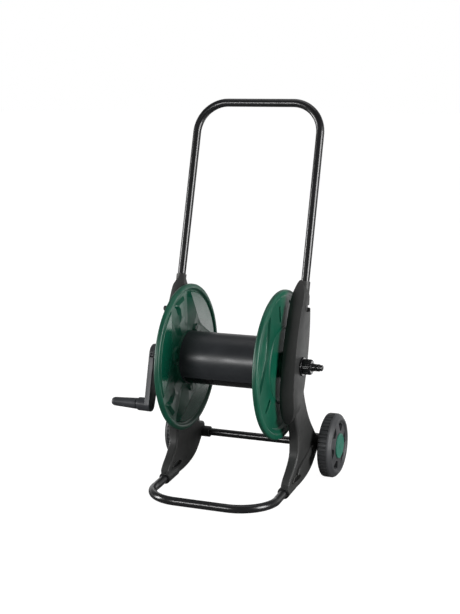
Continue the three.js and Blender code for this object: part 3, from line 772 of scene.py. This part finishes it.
def flange():
    """A dished disc with a rolled rim, three lens panels, three arms and three pads at the drum."""
    front, back, seams = [], [], []
    for a in LENS_ANGLES:
        front += [(lens_outline(a, 0), LENS_TOP), (lens_outline(a, -0.8), LENS_TOP + 0.5),
                  (pad_outline(a, 21), PAD_TOP), (pad_outline(a, 22.5), 5.0)]
        back += [(lens_outline(a, 3), dished_back), (lens_outline(a, 6), PANEL_FLOOR + 0.7),
                 (lens_outline(a, 7), PANEL_FLOOR)]
    for a in ARM_ANGLES:
        front += [(rounded(arm_outline(a, ARM_TOP), 2.0), arm_height),
                  (rounded(arm_outline(a, ARM_MIDDLE), 2.0), arm_shoulder),
                  (rounded(arm_outline(a, ARM_FOOT), 3.0), 7.6)]
        slot = rounded(arm_outline(a, ARM_SLOT), 1.5)
        back += [(grown(slot, 0.8), dished_back), (slot, WEB_BACK - 0.8), (grown(slot, -0.4), 3.4)]
        for side in (-1, 1):
            seams.append(([polar(r, a + side * d) for r, d in SEAM], 10.2))
    ridge = [([polar(radius, 5 * k) for k in range(72)], dished_back) for radius in RIDGE_RADII]
    sheets = [
        relief_sheet(DRUM_GAP_R, front, seams, dished_front),
        relief_sheet(BOSS_R, back + ridge, [], dished_back),
    ]
    rim = [(RIM_IN, dished_front(RIM_IN)), (165, 6.6), (166.6, 5.0), (168, 2.2), (169.6, 0.8),
           (171.6, 0.1), (174, 0), (176.6, 0.6), (178.6, 2.0), (179.8, 4.2), (FLANGE_R, 7), (179.8, 9.8),
           (178.6, 12), (176.4, 13.4), (173.5, 14), (170.6, 13.9), (168.2, 13.4), (166.4, 12.4),
           (165, 11.4), (RIM_IN, WEB_BACK)]
    hub = [(DRUM_GAP_R, dished_front(DRUM_GAP_R)), (DRUM_R + 0.2, 0.1), (SHAFT_R + 0.6, 0.1),
           (SHAFT_R + 0.6, BOSS_END), (25, BOSS_END), (27, 17), (28.4, 15.4), (31, 12.4), (34, 11.2),
           (BOSS_R, WEB_BACK)]
    rim = turned([(r, FLANGE_IN + x) for r, x in rim], 144, 0, REEL_Z, closed=False)
    hub = turned([(r, FLANGE_IN + x) for r, x in hub], 72, 0, REEL_Z, closed=False)
    return welded(joined(*sheets, rim, hub))


def welded(solid):
    """Joins points that coincide and turns the faces outwards."""
    mesh = bmesh.new()
    points = [mesh.verts.new(p) for p in solid[0]]
    for face in solid[1]:
        mesh.faces.new([points[i] for i in face])
    bmesh.ops.remove_doubles(mesh, verts=mesh.verts, dist=0.01)
    bmesh.ops.recalc_face_normals(mesh, faces=mesh.faces)
    mesh.verts.index_update()
    out = [tuple(v.co) for v in mesh.verts], [tuple(v.index for v in f.verts) for f in mesh.faces]
    mesh.free()
    return out


def polish_panels(flange_piece):
    """The flat tops of the lens panels are smoother than the grained web round them."""
    mesh = flange_piece.data
    mesh.materials.append(GREEN_POLISHED)
    for polygon in mesh.polygons:
        heights = [abs(mesh.vertices[i].co.x - ORIGIN.x) / MM - FLANGE_IN for i in polygon.vertices]
        if all(abs(height - LENS_TOP) < 0.05 for height in heights):
            polygon.material_index = 1


RIGHT_FLANGE_TURN = 8.0             # the right flange sits a few degrees further round than the left


def turned_on_reel(point, degrees):
    x, y, z = point
    dy, dz = polar(1, degrees)
    return x, y * dz + (z - REEL_Z) * dy, REEL_Z + (z - REEL_Z) * dz - y * dy


BAND_START, BAND_END = 184.0, 232.0  # the recessed band along the drum's underside
BAND_DEPTH = 2.0
DRUM_BORE = 58.0
DRUM_HALF = (drum_high[0] - drum_low[0]) / 2 / MM


def drum():
    """The barrel: a low bead at each end, and a long recess along its underside."""
    def swell(radius, x, degrees):
        recessed = abs(x) < DRUM_HALF - 4.5 and BAND_START < degrees < BAND_END
        return radius - BAND_DEPTH if recessed else radius
    barrel = DRUM_R - 0.5
    profile = [(DRUM_BORE, -DRUM_HALF), (DRUM_R, -DRUM_HALF, 0.8), (DRUM_R, 4 - DRUM_HALF),
               (barrel, 5 - DRUM_HALF), (barrel, DRUM_HALF - 5), (DRUM_R, DRUM_HALF - 4),
               (DRUM_R, DRUM_HALF, 0.8), (DRUM_BORE, DRUM_HALF)]
    return turned(rounded(profile), 180, 0, REEL_Z, swell)


def painted_drum_shade():
    """Painted shade: a thin black strip bedded in the drum's recess, standing for the shade along the
    drum's underside.
    """
    half = DRUM_HALF - 5.4
    angles = np.linspace(BAND_START + 0.5, BAND_END - 3.0, 24)
    outer = [polar(DRUM_R - 1.2, a) for a in angles]
    inner = [polar(DRUM_R - 3.0, a) for a in reversed(angles)]
    return slab([(y, REEL_Z + z) for y, z in outer + inner], -half, half)


def hub_shaft():
    """The reel's shaft: bored from the right for the water, and from the left for the crank's screw."""
    low, high, bore, screw = -215.4, 173.6, 7, 2.2
    profile = [(0, -201), (screw, -201), (screw, low), (SHAFT_R, low, 0.8), (SHAFT_R, high, 0.8),
               (bore, high), (bore, 76), (0, 76)]
    return turned(rounded(profile, closed=False), 64, 0, REEL_Z)


OUTLET_X = 84.0
OUTLET_ANGLE = 127.0


def outlet_nipple():
    """The nipple in the drum's wall that the stored hose is pushed on to."""
    profile = [(3.6, 12.6), (9, 12.6), (9, 65.6), (13, 66, 0.5), (13, 69, 0.8), (8.9, 70, 0.5),
               (8.9, 78, 0.8), (6.4, 79.5, 0.5), (6.4, 82.5, 0.5), (8.7, 84, 0.6), (8.7, 89, 0.6),
               (7.2, 91, 0.6), (7.2, 95, 0.8), (3.6, 95, 0.6)]
    outwards = Vector((0, *polar(1, OUTLET_ANGLE)))
    turn = Vector((1, 0, 0)).rotation_difference(outwards).to_matrix()
    foot = Vector((OUTLET_X, 0, REEL_Z))
    return moved(turned(rounded(profile), 64), lambda p: turn @ Vector(p) + foot)


# ---- crank --------------------------------------------------------------------------------------
CRANK_IN, CRANK_OUT = 201.0, 216.0  # distances to the left of the middle
GRIP_IN, GRIP_OUT, PIN_END = 237.3, 309.5, 304.0
CRANK_HUB_R, CRANK_TIP_R = 25.0, 17.0
PIN_BORE = 4.4
NOTCH = 4.5
NOTCH_PITCH = 6.5


def crank_arm():
    """A tapered bar with round ends, a boss for the grip and three notches beside the shaft."""
    down = math.atan2(GRIP_Z - REEL_Z, GRIP_Y)
    outline = []
    for k in range(33):
        a = down + math.pi / 2 + k / 32 * math.pi
        outline.append((CRANK_HUB_R * math.cos(a), REEL_Z + CRANK_HUB_R * math.sin(a)))
    for k in range(25):
        a = down - math.pi / 2 + k / 24 * math.pi
        outline.append((GRIP_Y + CRANK_TIP_R * math.cos(a), GRIP_Z + CRANK_TIP_R * math.sin(a)))
    boss = rounded([(0, 0.3 - GRIP_IN), (16.4, 0.3 - GRIP_IN, 1.5), (17, -CRANK_IN - 4),
                    (0, -CRANK_IN - 4)], closed=False)
    cuts = [
        rod(SHAFT_R + 0.5, -CRANK_OUT - 1, -CRANK_IN + 1, 48, 0, REEL_Z),
        rod(PIN_BORE, -GRIP_IN - 1, -CRANK_IN + 1, 32, GRIP_Y, GRIP_Z),
    ]
    for k in range(3):
        low = REEL_Z - 4 + NOTCH_PITCH * k
        notch = [(-30, low), (-20, low), (-20, low + NOTCH), (-30, low + NOTCH)]
        cuts.append(slab(notch, -CRANK_OUT + 4, -CRANK_IN + 1))
    arm = slab(outline, -CRANK_OUT, -CRANK_IN, 2.5, 4)
    return combined(arm, [turned(boss, 64, GRIP_Y, GRIP_Z)], cuts)


def crank_screw():
    """The screw that holds the crank on the shaft, under a low domed cap."""
    profile = [(0, -202.2), (1.8, -202.2), (1.8, -CRANK_OUT - 0.3), (14, -CRANK_OUT - 0.3),
               (14, -CRANK_OUT - 1.6, 0.6), (8, -CRANK_OUT - 4.5, 2.5), (0, -CRANK_OUT - 4.5)]
    return turned(rounded(profile, closed=False), 64, 0, REEL_Z)


def crank_grip():
    """A tapering handle with a collar at its inner end, bored for the pin."""
    profile = [(PIN_BORE, -GRIP_IN), (13.2, -GRIP_IN, 0.8), (13.2, -GRIP_IN - 1.4),
               (12.4, -GRIP_IN - 2.4, 0.6), (12.6, -GRIP_IN - 4, 0.6), (13.9, -GRIP_IN - 5, 1),
               (13.2, -256, 30), (12, -278, 30), (11.2, -298, 20), (10.6, 5 - GRIP_OUT, 3),
               (8.0, -GRIP_OUT, 2.5), (0, -GRIP_OUT), (0, -PIN_END - 0.6), (PIN_BORE, -PIN_END - 0.6)]
    return turned(rounded(profile), 64, GRIP_Y, GRIP_Z)


# ---- wheels ---------------------------------------------------------------------------------------
WHEEL_IN, WHEEL_OUT = 189.5, 225.0
TREAD_RIBS = 46
RIB_STEPS = 6
RIB_HEIGHT = 2.2
CAP_R = 31.0
POCKETS = 6
POCKET = [(38, -8), (57, -18), (58.5, 0), (57, 18), (38, 8)]    # (radius, degrees) corners


def tread(radius, x, degrees):
    """Transverse ribs over the inner part of the tread."""
    if radius < WHEEL_R - 3 or x > WHEEL_IN + 23:
        return radius
    step = degrees / 360 * TREAD_RIBS % 1
    return radius - (RIB_HEIGHT if step > 0.62 else 0)


def wheel():
    """A ribbed tread with a smooth outer band, a lip, a sunk face with six pockets and a cap seat."""
    tread_end = WHEEL_IN + 22.5
    profile = rounded([
        (AXLE_BORE, WHEEL_IN), (20, WHEEL_IN, 1), (24, WHEEL_IN + 6, 2), (60, WHEEL_IN + 6, 3),
        (66, WHEEL_IN + 0.5, 2), (76, WHEEL_IN + 0.5), (79, WHEEL_IN + 2), (WHEEL_R, WHEEL_IN + 5),
        (WHEEL_R, tread_end), (WHEEL_R - 0.4, tread_end + 0.8), (WHEEL_R, tread_end + 1.6),
        (78.3, WHEEL_IN + 28, 4), (70, WHEEL_OUT - 0.6, 2), (66, WHEEL_OUT, 1), (63, WHEEL_OUT - 1, 1),
        (60, WHEEL_OUT - 5, 1.5), (34, WHEEL_OUT - 2.5, 1.5), (CAP_R + 1, WHEEL_OUT - 1, 0.6),
        (CAP_R + 0.4, WHEEL_OUT - 6), (AXLE_BORE, WHEEL_OUT - 6)])
    body = turned(profile, TREAD_RIBS * RIB_STEPS, AXLE_Y, AXLE_Z, tread)
    cuts = []
    for k in range(POCKETS):
        middle = k * 360 / POCKETS + 20
        corners = [polar(radius, middle + degrees) for radius, degrees in POCKET]
        outline = rounded([(AXLE_Y + y, AXLE_Z + z, 2) for y, z in corners])
        cuts.append(slab(outline, WHEEL_OUT - 14, WHEEL_OUT + 2))
    return combined(body, [], cuts)


def hub_cap():
    """A round cap with a raised edge and a small boss in its middle."""
    back = WHEEL_OUT - 5.6
    profile = [(0, WHEEL_OUT - 1.2), (CAP_R - 3, WHEEL_OUT - 1.2), (CAP_R - 3, back), (CAP_R, back),
               (CAP_R, WHEEL_OUT + 0.6, 0.8), (CAP_R - 2.4, WHEEL_OUT + 1.6, 0.6),
               (CAP_R - 3.4, WHEEL_OUT + 0.9, 0.4), (8, WHEEL_OUT + 1.5, 1), (6, WHEEL_OUT + 2.3, 0.6),
               (0, WHEEL_OUT + 2.4)]
    return turned(rounded(profile, closed=False), 96, AXLE_Y, AXLE_Z)


# ---- all pieces -----------------------------------------------------------------------------------
FLANGE_SHARP = 12.0                 # degrees beyond which a flange's edge is crisp


def make_cart():
    make_tubes()
    pair("side_frame", ("frame", "frame"), side_frame(), CHARCOAL)
    pair("hub_bush", ("frame", "frame"), hub_bush(), GLOSS_BLACK)
    left, right = mirrored(flange()), moved(flange(), lambda p: turned_on_reel(p, RIGHT_FLANGE_TURN))
    for side, solid in (("left", left), ("right", right)):
        made = piece(f"{side}_flange_shell", "reel", solid, GREEN, [f"{side}_flange"],
                     FLANGE_SHARP)
        polish_panels(made)
    pair("wheel", ("right_wheel", "left_wheel"), wheel(), WHEEL_GREY)
    pair("hub_cap", ("right_wheel", "left_wheel"), hub_cap(), TEAL)
    piece("inlet_body_turned", "frame", inlet_body(), GLOSS_BLACK, ["inlet_body"])
    piece("inlet_nut_ribbed", "frame", inlet_nut(), GLOSS_BLACK, ["inlet_nut"])
    piece("lock_knob_turned", "frame", lock_knob(), CHARCOAL, ["handle_lock_knob"])
    piece("drum_barrel", "reel", drum(), SLATE, ["drum"])
    # Painted shade: a black strip in the recess along the drum's underside, where shade falls.
    piece("painted_drum_shade", "reel", painted_drum_shade(), GLOSS_BLACK, ["drum"])
    piece("hub_shaft_turned", "reel", hub_shaft(), CHARCOAL, ["hub_shaft"])
    piece("outlet_nipple_turned", "reel", outlet_nipple(), GLOSS_BLACK,
          ["outlet_nipple"])
    piece("crank_arm_moulded", "reel", crank_arm(), SLATE, ["crank_arm"])
    piece("crank_screw_cap", "reel", crank_screw(), CHARCOAL, ["crank_screw"])
    piece("crank_grip_turned", "grip", crank_grip(), SLATE, ["crank_grip"])


def finish_cad_nodes():
    """The small hardware keeps its CAD shape and gets the procedural materials."""
    for name, node in frame["nodes"].items():
        small = RUBBER if name == "inlet_o_ring" else STEEL
        node.data.materials.clear()
        node.data.materials.append(small)


# ---- stage, light and camera ------------------------------------------------------------------------


def make_floor():
    """A wide pale floor just under the feet."""
    half = 40.0
    corners = [(-half, -half, 0), (half, -half, 0), (half, half, 0), (-half, half, 0)]
    mesh = bpy.data.meshes.new("floor")
    mesh.from_pydata(corners, [], [(0, 1, 2, 3)])
    floor = bpy.data.objects.new("floor", mesh)
    bpy.context.scene.collection.objects.link(floor)
    floor.location.z = cad_box[0].z - 0.0005
    made = Finish("floor", 0.8, Specular_IOR_Level=0.2)
    made.colour(linear(128, 128, 127), linear(132, 132, 131), 2.0)
    seen_directly(made.tree, made.shader.outputs["BSDF"], 0.95)
    floor.data.materials.append(made.material)


def seen_directly(tree, surface, glow):
    """Lifts a stage surface where it is looked at directly, and darkens what it throws back."""
    lit = tree.nodes.new("ShaderNodeAddShader")
    shine = tree.nodes.new("ShaderNodeEmission")
    shine.inputs["Strength"].default_value = glow
    tree.links.new(surface, lit.inputs[0])
    tree.links.new(shine.outputs["Emission"], lit.inputs[1])
    dull = tree.nodes.new("ShaderNodeBsdfDiffuse")
    dull.inputs["Color"].default_value = (0.25, 0.25, 0.25, 1)
    choice = tree.nodes.new("ShaderNodeMixShader")
    path = tree.nodes.new("ShaderNodeLightPath")
    tree.links.new(path.outputs["Is Camera Ray"], choice.inputs[0])
    tree.links.new(dull.outputs["BSDF"], choice.inputs[1])
    tree.links.new(lit.outputs["Shader"], choice.inputs[2])
    tree.links.new(choice.outputs["Shader"], tree.nodes["Material Output"].inputs["Surface"])


def soft_light(name, place, size, power, aim=(0, 0, 0.45)):
    """A rectangular softbox in metres and watts, turned towards aim."""
    data = bpy.data.lights.new(name, "AREA")
    data.shape = "RECTANGLE"
    data.size, data.size_y = size
    data.energy = power
    lamp = bpy.data.objects.new(name, data)
    bpy.context.scene.collection.objects.link(lamp)
    lamp.location = place
    lamp.rotation_mode = "QUATERNION"
    lamp.rotation_quaternion = (Vector(aim) - Vector(place)).to_track_quat("-Z", "Y")
    lamp.visible_camera = False


def make_light():
    """Five softboxes in a pale studio that is brighter behind the cart than in front of it."""
    world = bpy.data.worlds.new("studio")
    bpy.context.scene.world = world
    world.use_nodes = True
    tree = world.node_tree
    around = tree.nodes["Background"]
    around.inputs["Color"].default_value = (1, 1, 1, 1)
    spot = tree.nodes.new("ShaderNodeTexCoord")
    split = tree.nodes.new("ShaderNodeSeparateXYZ")
    lift = tree.nodes.new("ShaderNodeMath")
    lift.operation = "SUBTRACT"
    fade = tree.nodes.new("ShaderNodeMapRange")
    for socket, value in (("From Min", 0.1), ("From Max", 0.8), ("To Min", 0.14), ("To Max", 0.9)):
        fade.inputs[socket].default_value = value
    tree.links.new(spot.outputs["Generated"], split.inputs["Vector"])
    tree.links.new(split.outputs["Y"], lift.inputs[0])
    tree.links.new(split.outputs["Z"], lift.inputs[1])
    tree.links.new(lift.outputs["Value"], fade.inputs["Value"])
    tree.links.new(fade.outputs["Result"], around.inputs["Strength"])
    behind = tree.nodes.new("ShaderNodeBackground")
    behind.inputs["Color"].default_value = (1, 1, 1, 1)
    choice = tree.nodes.new("ShaderNodeMixShader")
    path = tree.nodes.new("ShaderNodeLightPath")
    tree.links.new(path.outputs["Is Camera Ray"], choice.inputs[0])
    tree.links.new(around.outputs["Background"], choice.inputs[1])
    tree.links.new(behind.outputs["Background"], choice.inputs[2])
    tree.links.new(choice.outputs["Shader"], tree.nodes["World Output"].inputs["Surface"])
    soft_light("front_box", (-0.95, -3.0, 0.85), (1.0, 0.45), 30)
    soft_light("left_box", (-2.8, -0.9, 0.7), (0.7, 1.6), 60)
    soft_light("right_box", (3.1, -0.5, 1.0), (1.4, 2.0), 110)
    soft_light("top_box", (0.0, 0.6, 3.4), (2.5, 2.0), 14)
    soft_light("low_box", (0.65, 1.7, 0.02), (0.9, 1.7), 9, (0.65, 1.7, 1.0))


def make_camera():
    """The viewpoint: in front, to the right of and above the cart."""
    data = bpy.data.cameras.new("camera")
    camera = bpy.data.objects.new("camera", data)
    bpy.context.scene.collection.objects.link(camera)
    bpy.context.scene.camera = camera
    camera.location = ORIGIN + Vector((1128.1, -2786.6, 966.2)) * MM
    yaw, pitch = math.radians(22.205), math.radians(9.897)
    camera.rotation_euler = (math.pi / 2 - pitch, 0, yaw)
    data.sensor_width = 36.0
    data.lens = 74.37


bpy.context.scene.view_settings.view_transform = "Standard"
make_camera()
make_floor()
make_light()
make_cart()
finish_cad_nodes()
